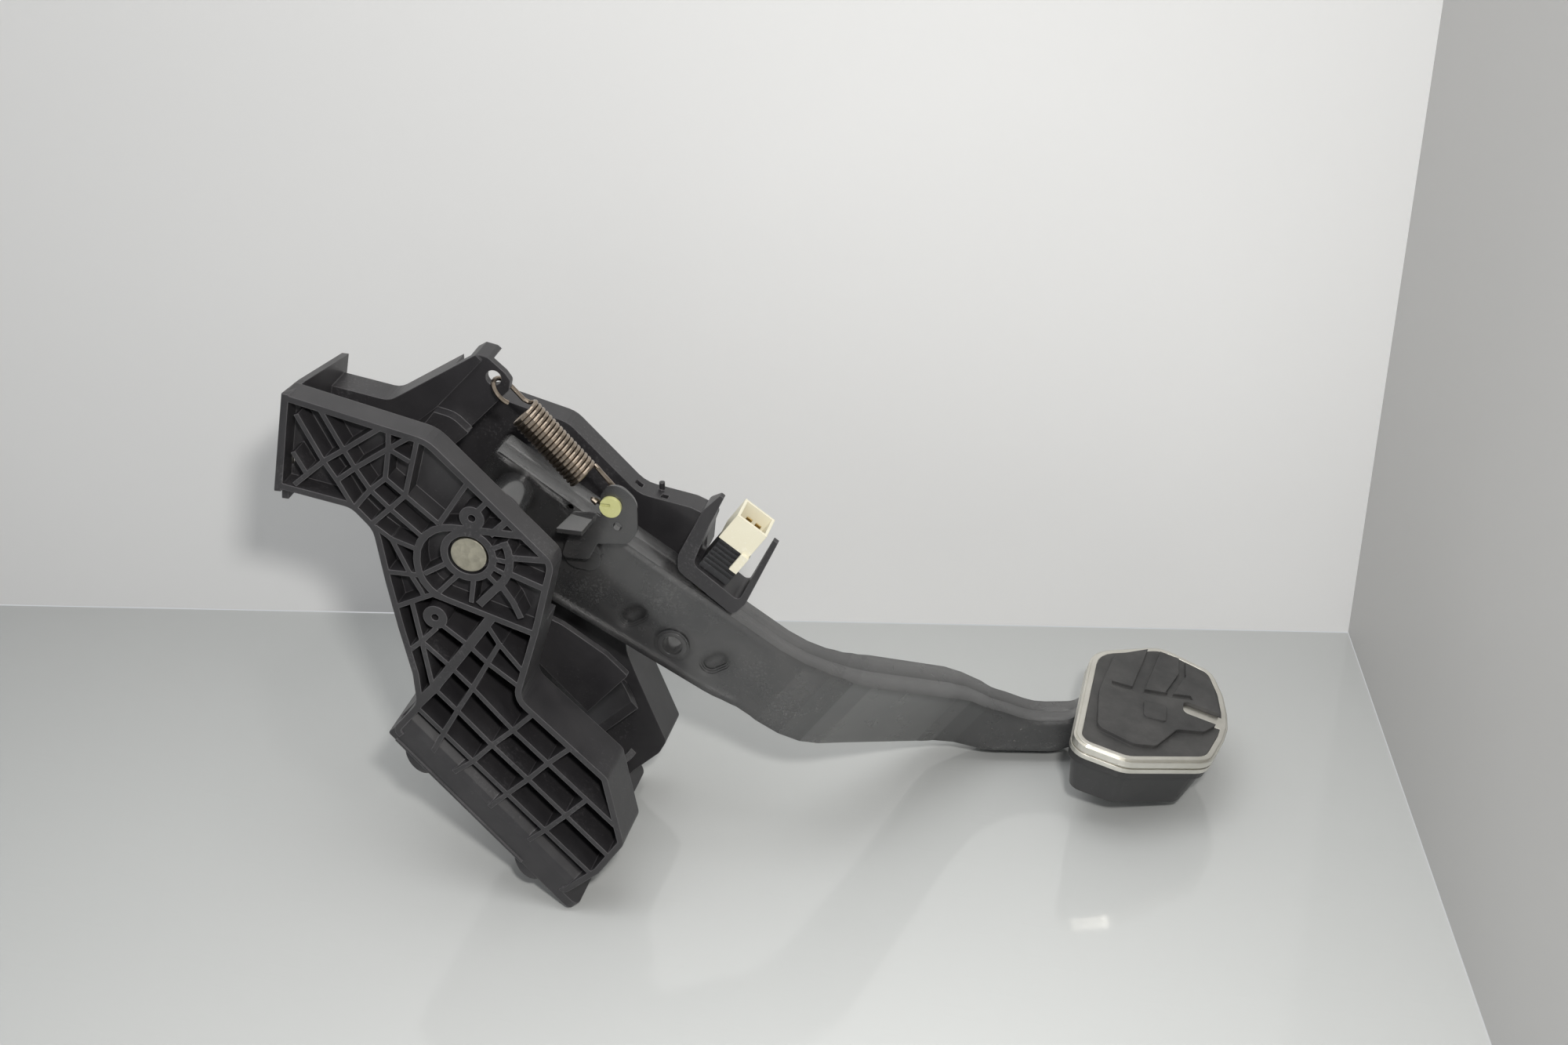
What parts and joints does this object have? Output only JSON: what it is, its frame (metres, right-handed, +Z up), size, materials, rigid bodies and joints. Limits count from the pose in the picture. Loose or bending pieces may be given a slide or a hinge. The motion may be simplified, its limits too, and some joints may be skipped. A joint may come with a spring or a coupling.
{
  "type": "brake pedal",
  "caption": "Hanging brake pedal: ribbed moulded bracket, bent hollow arm on a pin, pull spring, brake light switch over the arm and a rubber faced pad.",
  "frame": {"origin": "centre of the four base bosses in the plane of their faces", "axes": "+X from the base toward the pad, +Y along the pivot pin away from the pictured side, +Z up as pictured"},
  "size_m": [0.369, 0.196, 0.2292],
  "materials": {
    "bracket_black": "satin, fine moulded grain",
    "steel": "satin",
    "arm_paint": "black dip coat, satin",
    "zinc": "dull zinc",
    "bearing_plastic": "natural",
    "bush_yellow": "satin",
    "rubber_black": "matte",
    "under_black": "satin",
    "trim_metal": "warm brushed",
    "switch_black": "satin",
    "connector_white": "satin",
    "contact_brass": "bright",
    "spring_steel": "drawn wire, dull"
  },
  "bodies": {
    "bracket": {"bracket_housing": "bracket_black", "base_sleeves": "steel", "plate_sleeves": "steel", "pivot_pin": "steel", "pin_clip": "zinc", "rest_buffer": "rubber_black", "switch_body": "switch_black", "switch_connector": "connector_white", "switch_lock": "switch_black", "switch_terminals": "contact_brass", "return_spring": "spring_steel"},
    "pedal": {"arm_shell_near": "arm_paint", "arm_shell_far": "arm_paint", "hub_tube": "arm_paint", "hub_bushes": "bearing_plastic", "pushrod_ring": "arm_paint", "lever_plate": "arm_paint", "spring_pin": "zinc", "spring_bush": "bush_yellow", "pad_plate": "zinc", "pad_housing": "under_black", "pad_trim": "trim_metal", "pad_rubber": "rubber_black"},
    "plunger": {"switch_plunger": "bearing_plastic"}
  },
  "joints": [
    {"name": "pedal_pivot", "type": "hinge", "parent": "bracket", "child": "pedal", "pos_m": [0.0086, 0, 0.1278], "axis": [0, 1, 0], "range_deg": [0, 18], "stiffness_Nm_per_rad": 1, "springref_deg": -30.94, "deforming": ["return_spring"]},
    {"name": "switch_plunger_slide", "type": "slide", "parent": "bracket", "child": "plunger", "axis": [-0.5736, 0, -0.8192], "range_m": [0, 0.003]}
  ],
  "couplings": [
    {"joint": "switch_plunger_slide", "follows": "pedal_pivot", "m_per_rad": 0.0095}
  ]
}
